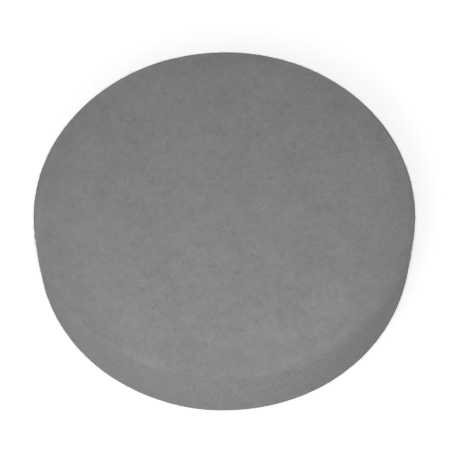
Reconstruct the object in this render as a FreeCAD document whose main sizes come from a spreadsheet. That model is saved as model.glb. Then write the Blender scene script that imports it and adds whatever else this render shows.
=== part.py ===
"""Face-type felt polishing wheel for a lapidary arbor.

A thick disc of pressed wool felt is cemented to a turned aluminium backing plate. A steel hub with a
flange is registered in the back of the plate and held by flat-head screws, whose heads lie under the
felt. The hub slips over the end of a machine's shaft, and two cup-point set screws a quarter turn apart
grip it. The felt has no hole, so its whole face polishes.

Millimetres. +Z runs along the spin axis from the mouth of the hub to the felt's face. The origin is the
centre of the hub's mouth, the lowest point of the wheel as it stands face up.
"""
import FreeCAD
import Part
import Sketcher
import math
import os
import re

# Alias, value and meaning of every driving size.
SIZES = [
    ("felt_diameter", 152.4, "outside diameter of the felt"),
    ("felt_thickness", 31.75, "height of the felt, from its back to the flat of its face"),
    ("edge_roll_width", 13, "from the felt's side in to the flat of its face"),
    ("edge_roll_radius", 90, "how gently the face falls away towards its shoulder"),
    ("shoulder_radius", 3.2, "rounding between the face and the side"),
    ("felt_back_chamfer", 0.9, "broken edge between the side and the back"),
    ("felt_overhang", 6.35, "how far the felt stands out past the plate"),
    ("cement_thickness", 0.4, "film of contact cement"),
    ("cement_inset", 1.0, "how far the cement stops inside the plate's edge"),
    ("plate_thickness", 6.35, "thickness of the backing plate"),
    ("plate_chamfer", 0.8, "broken edges of the plate"),
    ("bore_diameter", 15.93, "bore for the machine's shaft"),
    ("bore_chamfer", 1.0, "lead-in at the bore's mouth"),
    ("hub_length", 19.05, "from the hub's mouth to the plate"),
    ("barrel_wall", 9.5, "from the bore to the outside of the hub's barrel"),
    ("flange_width", 12.7, "how far the flange stands out past the barrel"),
    ("flange_thickness", 5.2, "thickness of the hub's flange"),
    ("flange_fillet", 2.0, "inside corner between the barrel and the flange"),
    ("hub_chamfer", 0.8, "broken outside edges of the hub"),
    ("spigot_wall", 4.76, "from the bore to the outside of the spigot that centres the hub"),
    ("spigot_height", 2.5, "how far the spigot stands into the plate"),
    ("spigot_clearance", 0.03, "radial gap round the spigot"),
    ("spigot_end_gap", 0.3, "gap between the spigot and the bottom of its recess"),
    ("plate_screw_count", 4, "screws that hold the plate to the flange"),
    ("plate_screw_diameter", 4.83, "outside diameter of a plate screw's thread"),
    ("plate_screw_length", 11.1, "overall length of a plate screw"),
    ("plate_screw_head", 9.6, "diameter of its countersunk head"),
    ("plate_screw_angle", 82, "full angle of its countersunk head, in degrees"),
    ("plate_screw_tip", 0.4, "chamfer at its end"),
    ("plate_screw_wall", 0.58, "from the corners of its hexagon socket to the thread's diameter"),
    ("plate_screw_drive", 1.8, "depth of its hexagon socket"),
    ("head_sink", 0.25, "how far the heads lie below the plate's face"),
    ("head_clearance", 0.05, "radial gap round a head in its countersink"),
    ("shank_clearance", 0.15, "radial gap round a plate screw in the plate"),
    ("thread_clearance", 0.05, "radial gap round any screw in its tapped hole"),
    ("set_screw_diameter", 6.35, "outside diameter of a set screw"),
    ("set_screw_length", 7.94, "length of a set screw"),
    ("set_screw_chamfer", 0.7, "broken edges of a set screw"),
    ("cup_land", 0.78, "width of the ring round the cup in a set screw's point"),
    ("cup_depth", 0.9, "depth of that cup"),
    ("set_screw_wall", 1.34, "from the corners of its hexagon socket to its outside"),
    ("set_screw_drive", 3.4, "depth of its hexagon socket"),
    ("set_screw_slack", 0.5, "from the bore's wall to the point of a loosened set screw"),
]
ALIASES = re.compile(r"\b(%s)\b" % "|".join(alias for alias, value, meaning in SIZES))

# Lengths that several pieces share, as expressions in the sizes above.
PLATE_DIAMETER = "(felt_diameter - 2 * felt_overhang)"
BARREL_DIAMETER = "(bore_diameter + 2 * barrel_wall)"
FLANGE_DIAMETER = "(bore_diameter + 2 * (barrel_wall + flange_width))"
SPIGOT_DIAMETER = "(bore_diameter + 2 * spigot_wall)"
SCREW_CIRCLE_RADIUS = "(bore_diameter / 2 + barrel_wall + flange_width / 2)"
FLANGE_BACK = "(hub_length - flange_thickness)"
CEMENT_SEAT = "(hub_length + plate_thickness)"
FELT_SEAT = "(hub_length + plate_thickness + cement_thickness)"
HALF_HEAD_ANGLE = "(plate_screw_angle / 2 * 1 deg)"

# How close an edge has to be to the radius and height asked for.
MATCH = 1e-4


def linked(expression):
    """The expression with each alias written as the sheet's cell, which is what FreeCAD reads."""
    return ALIASES.sub(r"Sizes.\1", expression)


def value(thing, expression):
    """What an expression in the sizes comes to."""
    return float(thing.evalExpression(linked(expression)))


def make_sizes(doc):
    """Puts the driving sizes in a spreadsheet, one row each, with their aliases."""
    sheet = doc.addObject("Spreadsheet::Sheet", "Sizes")
    for row, (alias, number, meaning) in enumerate(SIZES, start=1):
        sheet.set("A%d" % row, meaning)
        sheet.set("B%d" % row, str(number))
        sheet.setAlias("B%d" % row, alias)
    doc.recompute()
    return sheet


def make_body(doc, label, height="0", across="0", along="0"):
    """An empty body whose origin lies at the three expressions, from the centre of the hub's mouth."""
    body = doc.addObject("PartDesign::Body", label)
    body.Label = label
    for axis, expression in (("x", across), ("y", along), ("z", height)):
        if expression != "0":
            body.setExpression(".Placement.Base." + axis, linked(expression))
    doc.recompute()
    return body


def origin_feature(body, role):
    """One of a body's own origin planes or axes."""
    return next(f for f in body.Origin.OriginFeatures if f.Role == role)


def add_sketch(body, name, role="XY_Plane", height=None):
    """A sketch on one of the body's origin planes, raised along its normal where height is given."""
    sketch = body.newObject("Sketcher::SketchObject", name)
    sketch.AttachmentSupport = [(origin_feature(body, role), "")]
    sketch.MapMode = "FlatFace"
    if height:
        sketch.setExpression(".AttachmentOffset.Base.z", linked(height))
    return sketch


def bind(sketch, kind, *args):
    """Adds a dimension whose last argument is an expression, and ties it to that expression."""
    number = value(sketch, args[-1])
    index = sketch.addConstraint(Sketcher.Constraint(kind, *args[:-1], number))
    sketch.setExpression("Constraints[%d]" % index, linked(args[-1]))


def pin_point(sketch, element, point, across, up):
    """Holds a point of an element at a pair of expressions measured from the sketch's origin."""
    for kind, axis, expression in (("DistanceX", -2, across), ("DistanceY", -1, up)):
        if expression == "0":
            sketch.addConstraint(Sketcher.Constraint("PointOnObject", element, point, axis))
        else:
            bind(sketch, kind, -1, 1, element, point, expression)


def draw_outline(sketch, corners):
    """Closes straight lines through corners, each a pair of expressions (across, up)."""
    points = [FreeCAD.Vector(*(value(sketch, e) for e in corner), 0) for corner in corners]
    count = len(points)
    for i, start in enumerate(points):
        sketch.addGeometry(Part.LineSegment(start, points[(i + 1) % count]))
    for i, (across, up) in enumerate(corners):
        sketch.addConstraint(Sketcher.Constraint("Coincident", i, 2, (i + 1) % count, 1))
        pin_point(sketch, i, 1, across, up)


def draw_circle(sketch, diameter, across="0", up="0"):
    """A circle of a bound diameter, centred at a pair of expressions."""
    centre = FreeCAD.Vector(value(sketch, across), value(sketch, up), 0)
    radius = value(sketch, diameter) / 2
    circle = sketch.addGeometry(Part.Circle(centre, FreeCAD.Vector(0, 0, 1), radius))
    pin_point(sketch, circle, 3, across, up)
    bind(sketch, "Diameter", circle, diameter)


def draw_hexagon(sketch, across_corners):
    """A regular hexagon about the origin of an empty sketch, as equal chords of one circle."""
    draw_circle(sketch, across_corners)
    sketch.setConstruction(0, True)
    reach = value(sketch, across_corners) / 2
    corners = [
        FreeCAD.Vector(reach * math.cos(math.pi / 3 * i), reach * math.sin(math.pi / 3 * i), 0)
        for i in range(6)
    ]
    for i in range(6):
        sketch.addGeometry(Part.LineSegment(corners[i], corners[(i + 1) % 6]))
    for i in range(6):
        side = i + 1
        following = (i + 1) % 6 + 1
        sketch.addConstraint(Sketcher.Constraint("Coincident", side, 2, following, 1))
        sketch.addConstraint(Sketcher.Constraint("PointOnObject", side, 1, 0))
        if i:
            sketch.addConstraint(Sketcher.Constraint("Equal", 1, side))
    sketch.addConstraint(Sketcher.Constraint("PointOnObject", 1, 1, -1))


def draw_felt_section(sketch):
    """Half the felt's section: a flat face, a gentle roll-off, a rounded shoulder, a straight side."""
    names = "felt_diameter felt_thickness shoulder_radius edge_roll_radius edge_roll_width"
    diameter, top, shoulder, roll, width = (value(sketch, name) for name in names.split())
    side = diameter / 2
    # The shoulder's arc touches the roll-off's from inside, on the line through their centres.
    tilt = math.asin((width - shoulder) / (roll - shoulder))
    side_top = top - roll + (roll - shoulder) * math.cos(tilt)

    def arc(x, y, radius, outer, inner):
        """The arc about (x, y) from one angle off the vertical to another."""
        angles = (outer, (outer + inner) / 2, inner)
        return Part.Arc(
            *(FreeCAD.Vector(x + radius * math.sin(a), y + radius * math.cos(a), 0) for a in angles)
        )

    foot, heel, low, flat_edge, peak = (
        FreeCAD.Vector(x, y, 0)
        for x, y in ((0, 0), (side, 0), (side, side_top), (side - width, top), (0, top))
    )
    sketch.addGeometry(Part.LineSegment(foot, heel))
    sketch.addGeometry(Part.LineSegment(heel, low))
    sketch.addGeometry(arc(side - shoulder, side_top, shoulder, math.pi / 2, tilt))
    sketch.addGeometry(arc(side - width, top - roll, roll, tilt, 0))
    sketch.addGeometry(Part.LineSegment(flat_edge, peak))
    sketch.addGeometry(Part.LineSegment(peak, foot))
    for kind, *which in (
        ("Coincident", 0, 1, -1, 1),
        ("Coincident", 0, 2, 1, 1),
        ("Tangent", 1, 2, 2, 1),
        ("Tangent", 2, 2, 3, 1),
        ("Tangent", 3, 2, 4, 1),
        ("Coincident", 4, 2, 5, 1),
        ("Coincident", 5, 2, 0, 1),
        ("Horizontal", 0),
        ("Vertical", 1),
        ("Horizontal", 4),
        ("Vertical", 5),
    ):
        sketch.addConstraint(Sketcher.Constraint(kind, *which))
    bind(sketch, "DistanceX", -1, 1, 0, 2, "felt_diameter / 2")
    bind(sketch, "DistanceY", -1, 1, 4, 2, "felt_thickness")
    bind(sketch, "DistanceX", 3, 2, 0, 2, "edge_roll_width")
    bind(sketch, "Radius", 2, "shoulder_radius")
    bind(sketch, "Radius", 3, "edge_roll_radius")


def revolve(body, sketch, name):
    """Turns a half section about the sketch's vertical axis."""
    turned = body.newObject("PartDesign::Revolution", name)
    turned.Profile = sketch
    turned.ReferenceAxis = (sketch, ["V_Axis"])
    turned.Angle = 360
    body.Document.recompute()
    return turned


def pad(body, sketch, name, height):
    """Raises a closed sketch by a bound height."""
    raised = body.newObject("PartDesign::Pad", name)
    raised.Profile = sketch
    raised.setExpression("Length", linked(height))
    body.Document.recompute()
    return raised


def pocket(body, sketch, name, depth, forwards=False):
    """Cuts a closed sketch to a bound depth, against the sketch's normal unless forwards."""
    before = body.Shape.Volume
    cut = body.newObject("PartDesign::Pocket", name)
    cut.Profile = sketch
    cut.Reversed = forwards
    cut.setExpression("Length", linked(depth))
    body.Document.recompute()
    if not cut.Shape.Volume < before:
        raise RuntimeError("%s in %s cuts nothing" % (name, body.Label))
    return cut


def countersink(body, sketch, name, diameter, head_diameter, head_angle):
    """Drills a countersunk hole right through the body at each circle of a sketch."""
    body.Document.recompute()
    before = body.Shape.Volume
    hole = body.newObject("PartDesign::Hole", name)
    hole.Profile = sketch
    body.Document.recompute()
    hole.DepthType = "ThroughAll"
    hole.HoleCutType = "Countersink"
    hole.HoleCutCustomValues = True
    hole.setExpression("Diameter", linked(diameter))
    hole.setExpression("HoleCutDiameter", linked(head_diameter))
    hole.setExpression("HoleCutCountersinkAngle", linked(head_angle))
    body.Document.recompute()
    if not hole.Shape.Volume < before:
        raise RuntimeError("%s in %s cuts nothing" % (name, body.Label))
    return hole


def ring_pattern(body, feature, name, count):
    """Repeats a feature evenly round the body's own Z axis."""
    pattern = body.newObject("PartDesign::PolarPattern", name)
    pattern.Originals = [feature]
    pattern.Axis = (origin_feature(body, "Z_Axis"), [""])
    pattern.Angle = 360
    pattern.setExpression("Occurrences", linked(count))
    body.Tip = pattern
    body.Document.recompute()
    return pattern


def round_edges(feature, radius, height):
    """Names of a feature's circular edges of that radius at that height."""
    found = []
    for number, edge in enumerate(feature.Shape.Edges, start=1):
        if edge.Degenerated or not isinstance(edge.Curve, Part.Circle):
            continue
        same_radius = abs(edge.Curve.Radius - radius) < MATCH
        if same_radius and abs(edge.Curve.Center.z - height) < MATCH:
            found.append("Edge%d" % number)
    if not found:
        raise RuntimeError("no edge of radius %g at height %g" % (radius, height))
    return found


def soften(body, kind, name, rims, size):
    """A Fillet or Chamfer of a bound size on the tip's round edges, given as (diameter, height)."""
    base = body.Tip
    edges = []
    for diameter, height in rims:
        edges += round_edges(base, value(base, diameter) / 2, value(base, height))
    softened = body.newObject("PartDesign::" + kind, name)
    softened.Base = (base, edges)
    softened.setExpression("Radius" if kind == "Fillet" else "Size", linked(size))
    body.Document.recompute()
    return softened


def make_felt(doc):
    """The felt disc: a straight side and a flat face that rolls off to a rounded shoulder."""
    body = make_body(doc, "felt_disc", FELT_SEAT)
    section = add_sketch(body, "FeltSection", "XZ_Plane")
    draw_felt_section(section)
    revolve(body, section, "FeltBlank")
    soften(body, "Chamfer", "FeltBack", [("felt_diameter", "0")], "felt_back_chamfer")
    return body


def make_cement(doc):
    """The film of contact cement between the felt and the plate."""
    body = make_body(doc, "cement_film", CEMENT_SEAT)
    outline = add_sketch(body, "CementOutline")
    draw_circle(outline, PLATE_DIAMETER + " - 2 * cement_inset")
    pad(body, outline, "CementFilm", "cement_thickness")
    return body


def make_plate(doc):
    """The backing plate: a turned disc, recessed for the hub's spigot, with countersunk holes."""
    body = make_body(doc, "backing_plate", "hub_length")
    outline = add_sketch(body, "PlateOutline")
    draw_circle(outline, PLATE_DIAMETER)
    pad(body, outline, "PlateBlank", "plate_thickness")
    rims = [(PLATE_DIAMETER, "0"), (PLATE_DIAMETER, "plate_thickness")]
    soften(body, "Chamfer", "PlateEdges", rims, "plate_chamfer")

    recess = add_sketch(body, "SpigotOutline")
    draw_circle(recess, SPIGOT_DIAMETER + " + 2 * spigot_clearance")
    pocket(body, recess, "SpigotRecess", "spigot_height + spigot_end_gap", forwards=True)

    spot = add_sketch(body, "ScrewSpot", height="plate_thickness")
    draw_circle(spot, "plate_screw_diameter", across=SCREW_CIRCLE_RADIUS)
    # The countersink's cone clears the head's rim and runs on up past it to the plate's face.
    hole = countersink(
        body,
        spot,
        "ScrewHole",
        "plate_screw_diameter + 2 * shank_clearance",
        "plate_screw_head + 2 * (head_clearance + head_sink * tan(%s))" % HALF_HEAD_ANGLE,
        "plate_screw_angle * 1 deg",
    )
    ring_pattern(body, hole, "ScrewHoles", "plate_screw_count")
    return body


def make_hub(doc):
    """The hub: barrel, flange and spigot in one turning, tapped for both kinds of screw."""
    body = make_body(doc, "hub")
    bore, barrel, flange, spigot = (
        diameter + " / 2"
        for diameter in ("bore_diameter", BARREL_DIAMETER, FLANGE_DIAMETER, SPIGOT_DIAMETER)
    )
    spigot_end = "(hub_length + spigot_height)"
    section = add_sketch(body, "HubSection", "XZ_Plane")
    draw_outline(
        section,
        [
            (bore, "0"),
            (barrel, "0"),
            (barrel, FLANGE_BACK),
            (flange, FLANGE_BACK),
            (flange, "hub_length"),
            (spigot, "hub_length"),
            (spigot, spigot_end),
            (bore, spigot_end),
        ],
    )
    revolve(body, section, "HubBlank")
    soften(body, "Chamfer", "BoreLeadIn", [("bore_diameter", "0")], "bore_chamfer")
    rims = [
        (BARREL_DIAMETER, "0"),
        (FLANGE_DIAMETER, FLANGE_BACK),
        (FLANGE_DIAMETER, "hub_length"),
        (SPIGOT_DIAMETER, spigot_end),
    ]
    soften(body, "Chamfer", "HubEdges", rims, "hub_chamfer")
    soften(body, "Fillet", "FlangeRoot", [(BARREL_DIAMETER, FLANGE_BACK)], "flange_fillet")

    spot = add_sketch(body, "TappedSpot", height="hub_length")
    tapped = "plate_screw_diameter + 2 * thread_clearance"
    draw_circle(spot, tapped, across=SCREW_CIRCLE_RADIUS)
    hole = pocket(body, spot, "TappedHole", "flange_thickness")
    ring_pattern(body, hole, "TappedHoles", "plate_screw_count")

    # The cross holes run out halfway up the barrel, from the bore to past its root in the flange.
    for name, role in (("Front", "XZ_Plane"), ("Side", "YZ_Plane")):
        cross = add_sketch(body, name + "SetSpot", role)
        draw_circle(cross, "set_screw_diameter + 2 * thread_clearance", up=FLANGE_BACK + " / 2")
        pocket(body, cross, name + "SetHole", barrel + " + flange_fillet", forwards=True)
    return body


def make_plate_screw(doc, number):
    """One flat-head screw, head up in the plate, at its place on the screw circle."""
    turn = "(360 deg * %d / plate_screw_count)" % (number - 1)
    body = make_body(
        doc,
        "plate_screw_%d" % number,
        height=CEMENT_SEAT + " - head_sink - plate_screw_length",
        across="%s * cos(%s)" % (SCREW_CIRCLE_RADIUS, turn),
        along="%s * sin(%s)" % (SCREW_CIRCLE_RADIUS, turn),
    )
    shank = "plate_screw_diameter / 2"
    head = "plate_screw_head / 2"
    cone = "(%s - %s) / tan(%s)" % (head, shank, HALF_HEAD_ANGLE)
    section = add_sketch(body, "ScrewSection%d" % number, "XZ_Plane")
    draw_outline(
        section,
        [
            ("0", "0"),
            (shank + " - plate_screw_tip", "0"),
            (shank, "plate_screw_tip"),
            (shank, "plate_screw_length - " + cone),
            (head, "plate_screw_length"),
            ("0", "plate_screw_length"),
        ],
    )
    revolve(body, section, "ScrewBlank%d" % number)
    socket = add_sketch(body, "ScrewSocket%d" % number, height="plate_screw_length")
    draw_hexagon(socket, "plate_screw_diameter - 2 * plate_screw_wall")
    pocket(body, socket, "ScrewDrive%d" % number, "plate_screw_drive")
    return body


def make_set_screw(doc, name, heading, turn_axis):
    """A cup-point set screw, backed off from the bore.

    heading is the unit direction (x, y) from the wheel's axis out to the screw's socket. A quarter turn
    about turn_axis brings the screw's own +Z, from point to socket, round to it.
    """
    reach = "(bore_diameter / 2 + set_screw_slack)"
    body = make_body(
        doc,
        "set_screw_" + name,
        height=FLANGE_BACK + " / 2",
        across="%s * %d" % (reach, heading[0]),
        along="%s * %d" % (reach, heading[1]),
    )
    body.Placement.Rotation = FreeCAD.Rotation(FreeCAD.Vector(*turn_axis), 90)
    radius = "set_screw_diameter / 2"
    end_radius = radius + " - set_screw_chamfer"
    section = add_sketch(body, name + "SetSection", "XZ_Plane")
    draw_outline(
        section,
        [
            ("0", "cup_depth"),
            (end_radius + " - cup_land", "0"),
            (end_radius, "0"),
            (radius, "set_screw_chamfer"),
            (radius, "set_screw_length - set_screw_chamfer"),
            (end_radius, "set_screw_length"),
            ("0", "set_screw_length"),
        ],
    )
    revolve(body, section, name + "SetBlank")
    socket = add_sketch(body, name + "SetSocket", height="set_screw_length")
    draw_hexagon(socket, "set_screw_diameter - 2 * set_screw_wall")
    pocket(body, socket, name + "SetDrive", "set_screw_drive")
    return body


def check(doc, bodies):
    """Stops before anything is written if a feature failed or a piece isn't one sound solid."""
    for thing in doc.Objects:
        if "Invalid" in thing.State or "Error" in thing.State:
            raise RuntimeError("%s failed: %s" % (thing.Name, thing.State))
    for body in bodies:
        shape = body.Shape
        if shape.isNull() or not shape.isValid() or len(shape.Solids) != 1:
            raise RuntimeError("%s isn't one valid solid" % body.Label)


def main():
    """Builds the wheel and writes each piece to parts/LABEL.step."""
    doc = FreeCAD.newDocument("FeltPolishingWheel")
    sheet = make_sizes(doc)
    bodies = [make_felt(doc), make_cement(doc), make_plate(doc), make_hub(doc)]
    for number in range(1, int(sheet.plate_screw_count) + 1):
        bodies.append(make_plate_screw(doc, number))
    bodies.append(make_set_screw(doc, "front", heading=(0, -1), turn_axis=(1, 0, 0)))
    bodies.append(make_set_screw(doc, "side", heading=(1, 0), turn_axis=(0, 1, 0)))
    doc.recompute()
    check(doc, bodies)
    os.makedirs("parts", exist_ok=True)
    for body in bodies:
        body.Shape.exportStep("parts/%s.step" % body.Label)
        box = body.Shape.BoundBox
        heights = "z %7.3f to %7.3f" % (box.ZMin, box.ZMax)
        print("%-16s %9.1f mm3  %s" % (body.Label, body.Shape.Volume, heights))


main()
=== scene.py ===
"""Looks of a face-type felt polishing wheel for a lapidary arbor.

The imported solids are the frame. This script lays the wool felt, the cement's squeeze-out and the
threaded screws over them, dresses every piece in its finish, and sets up the floor, the lights and the
camera. Lengths are metres, in the solids' own frame: +Z up, origin at the centre of the hub's mouth.
"""
import logging
import math
from dataclasses import dataclass
from enum import Enum
from typing import Any, Callable, Dict, List, Optional, Sequence, Tuple

import bpy
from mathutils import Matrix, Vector, noise


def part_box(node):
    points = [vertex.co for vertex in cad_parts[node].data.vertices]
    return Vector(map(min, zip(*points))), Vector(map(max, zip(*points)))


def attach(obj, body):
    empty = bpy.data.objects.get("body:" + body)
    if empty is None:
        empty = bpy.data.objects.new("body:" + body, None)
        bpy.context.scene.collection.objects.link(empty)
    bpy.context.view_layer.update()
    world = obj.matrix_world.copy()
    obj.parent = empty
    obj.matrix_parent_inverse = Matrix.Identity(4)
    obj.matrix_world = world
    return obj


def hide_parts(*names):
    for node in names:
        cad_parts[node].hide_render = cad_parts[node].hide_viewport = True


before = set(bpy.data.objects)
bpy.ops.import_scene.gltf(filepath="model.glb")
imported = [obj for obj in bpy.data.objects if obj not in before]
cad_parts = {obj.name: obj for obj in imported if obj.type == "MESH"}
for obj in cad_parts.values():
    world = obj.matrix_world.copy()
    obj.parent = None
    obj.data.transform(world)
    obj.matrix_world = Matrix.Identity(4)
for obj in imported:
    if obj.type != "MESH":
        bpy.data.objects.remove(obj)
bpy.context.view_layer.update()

log = logging.getLogger("felt_wheel")

Material = bpy.types.Material
Mesh = bpy.types.Mesh
Node = bpy.types.Node
Piece = bpy.types.Object
Socket = bpy.types.NodeSocket
Band = Tuple[float, float]
Ring = List[Vector]
Stops = Tuple[Tuple[float, str], ...]

MM = 0.001
# Within this radius the felt is cemented to its plate.
BONDED_RADIUS = 70.5 * MM

# The kinds of node that come up most. What follows the space is the node's operation.
MATH = "ShaderNodeMath "
ADD, SUBTRACT = MATH + "ADD", MATH + "SUBTRACT"
MULTIPLY, MULTIPLY_ADD = MATH + "MULTIPLY", MATH + "MULTIPLY_ADD"
VECTOR_MATH = "ShaderNodeVectorMath "
COMPARE = "FunctionNodeCompare "
BOOLEAN = "FunctionNodeBooleanMath "
BUMP = "ShaderNodeBump"
COMBINE = "ShaderNodeCombineXYZ"
EULER = "FunctionNodeEulerToRotation"
MAP_RANGE = "ShaderNodeMapRange"
MAPPING = "ShaderNodeMapping"
MIX = "ShaderNodeMix"
NOISE = "ShaderNodeTexNoise"
POSITION = "GeometryNodeInputPosition"
RAMP = "ShaderNodeValToRGB"
RANDOM = "FunctionNodeRandomValue"
SEPARATE = "ShaderNodeSeparateXYZ"
SWITCH = "GeometryNodeSwitch"


class Body(Enum):
    """The bodies of the frame that pieces ride on."""

    WHEEL = "wheel"
    FRONT_SCREW = "set_screw_front"
    SIDE_SCREW = "set_screw_side"


class Slot(Enum):
    """The record's material slots."""

    FELT = "felt"
    CEMENT = "cement"
    PLATE_SCREWS = "plate_screws"
    SET_SCREWS = "set_screws"


# ---- Colour, nodes and Geometry Nodes trees ----


def linear(code: str) -> Tuple[float, float, float, float]:
    """Turns an sRGB hex colour into the linear RGBA that sockets hold.

    Args:
        code: The colour as "#rrggbb".

    Returns:
        Red, green, blue and alpha, linear.
    """
    channels = [int(code[i : i + 2], 16) / 255 for i in (1, 3, 5)]
    red, green, blue = (c / 12.92 if c <= 0.04045 else ((c + 0.055) / 1.055) ** 2.4 for c in channels)
    return red, green, blue, 1.0


class Tree:
    """A node tree in the making."""

    def __init__(self, data: bpy.types.NodeTree) -> None:
        """Takes the tree that gets the nodes."""
        self.data = data

    def plug(self, node: Node, *inputs: Any) -> None:
        """Gives a node's inputs their constants and links.

        Args:
            node: The node.
            *inputs: What its first inputs take in turn, or a dict of what others take, by name or
                index. A node stands for its first live output.
        """
        for index, given in enumerate(inputs):
            for key, value in (given if isinstance(given, dict) else {index: given}).items():
                if isinstance(value, Node):
                    value = next(s for s in value.outputs if s.enabled)
                if isinstance(value, Socket):
                    self.data.links.new(value, node.inputs[key])
                else:
                    node.inputs[key].default_value = value

    def add(self, kind: str, *inputs: Any, stops: Stops = (), **settings: Any) -> Node:
        """Adds a node with its settings, its constants and its links.

        Args:
            kind: Blender's name for the node's type, and after a space its operation, if it has one.
            *inputs: Its inputs, as plug takes them.
            stops: Places and hex colours along its colour ramp, if it has one.
            **settings: Its other properties.

        Returns:
            The new node.
        """
        kind, *operation = kind.split()
        node = self.data.nodes.new(kind)
        if operation:
            node.operation = operation[0]
        for name, setting in settings.items():
            setattr(node, name, setting)
        for i, (where, code) in enumerate(stops):
            marks = node.color_ramp.elements
            mark = marks[i] if i < 2 else marks.new(where)
            mark.position, mark.color = where, linear(code)
        self.plug(node, *inputs)
        return node

    def radius_and_height(self, spot: Any) -> Tuple[Socket, Socket]:
        """Measures a place in the wheel's own terms.

        Args:
            spot: The socket or node that gives the place.

        Returns:
            Its distance from the spin axis, and its height.
        """
        parts = self.add(SEPARATE, spot).outputs
        flat = self.add(COMBINE, parts["X"], parts["Y"])
        return self.add(VECTOR_MATH + "LENGTH", flat).outputs["Value"], parts["Z"]


class Paint(Tree):
    """A material in the making, on a Principled shader."""

    def __init__(self, name: str) -> None:
        """Starts the material, with its object coordinates.

        Args:
            name: The material's name.
        """
        self.material = bpy.data.materials.new(name)
        self.material.use_nodes = True
        super().__init__(self.material.node_tree)
        self.spot = self.add("ShaderNodeTexCoord").outputs["Object"]

    def shade(self, look: Dict[str, Any]) -> Material:
        """Gives the shader's inputs what they take, and returns the material."""
        self.plug(self.data.nodes["Principled BSDF"], look)
        return self.material


class Growth(Tree):
    """A Geometry Nodes tree that takes a mesh and named inputs and gives a plain mesh."""

    def __init__(self, name: str, part: Any) -> None:
        """Starts the tree.

        Args:
            name: The tree's name.
            part: The sub-assembly whose own sizes, seed and finish are the tree's inputs, by names
                such as "Roll Width" for roll_width.
        """
        super().__init__(bpy.data.node_groups.new(name, "GeometryNodeTree"))
        self.values: Dict[str, Any] = {}
        sockets = self.data.interface
        sockets.new_socket("Base", in_out="INPUT", socket_type="NodeSocketGeometry")
        for field, value in vars(part).items():
            if isinstance(value, Finish):
                value = value.build()
            kind = {int: "Int", float: "Float", Material: "Material"}.get(type(value))
            if kind:
                label = field.replace("_", " ").title()
                sockets.new_socket(label, in_out="INPUT", socket_type="NodeSocket" + kind)
                self.values[label] = value
        sockets.new_socket("Result", in_out="OUTPUT", socket_type="NodeSocketGeometry")
        self.inputs = self.add("NodeGroupInput").outputs

    def __getitem__(self, label: str) -> Socket:
        """The socket that gives a named input inside the tree."""
        return self.inputs[label]

    def any_turn(self) -> Node:
        """Adds nodes that give a random turn about Z."""
        turn = {0: (0.0, 0.0, 0.0), 1: (0.0, 0.0, 2 * math.pi), "Seed": self["Seed"]}
        return self.add(EULER, self.add(RANDOM, turn, data_type="FLOAT_VECTOR"))

    def grow(self, name: str, shape: Node, base: Optional[Mesh] = None) -> Piece:
        """Ends the tree, runs it once and keeps what it makes as a plain mesh.

        Args:
            name: The new piece's name.
            shape: The node that gives the finished geometry.
            base: The mesh that the tree starts from, if it starts from one.

        Returns:
            The finished piece, with no modifier left on it.
        """
        real = self.add("GeometryNodeRealizeInstances", shape)
        shaded = self.add("GeometryNodeSetShadeSmooth", real)
        dressed = self.add("GeometryNodeSetMaterial", shaded, {"Material": self["Finish"]})
        self.add("NodeGroupOutput", dressed)
        piece = bpy.data.objects.new(name, base or bpy.data.meshes.new(name + "_base"))
        bpy.context.scene.collection.objects.link(piece)
        modifier = piece.modifiers.new(self.data.name, "NODES")
        modifier.node_group = self.data
        for item in self.data.interface.items_tree:
            if item.in_out == "INPUT" and item.name in self.values:
                modifier[item.identifier] = self.values[item.name]
        grown = piece.evaluated_get(bpy.context.evaluated_depsgraph_get())
        mesh = bpy.data.meshes.new_from_object(grown)
        mesh.name = name
        piece.modifiers.remove(modifier)
        piece.data = mesh
        return piece


def settle(piece: Piece, body: Body, replaced: Sequence[str] = ()) -> Piece:
    """Gives a finished piece its body, and hides the solids that it stands for.

    Args:
        piece: The piece, already in place.
        body: The body that carries it.
        replaced: Nodes that it stands for.

    Returns:
        The same piece.
    """
    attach(piece, body.value)
    if replaced:
        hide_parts(*replaced)
    log.info("%s: %d faces on %s", piece.name, len(piece.data.polygons), body.value)
    return piece


# ---- Finishes ----


@dataclass(frozen=True)
class Finish:
    """What every finish has: a name for its material, which a subclass builds."""

    name: str

    def build(self) -> Material:
        """Makes the material."""
        raise NotImplementedError(self.name)


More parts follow.
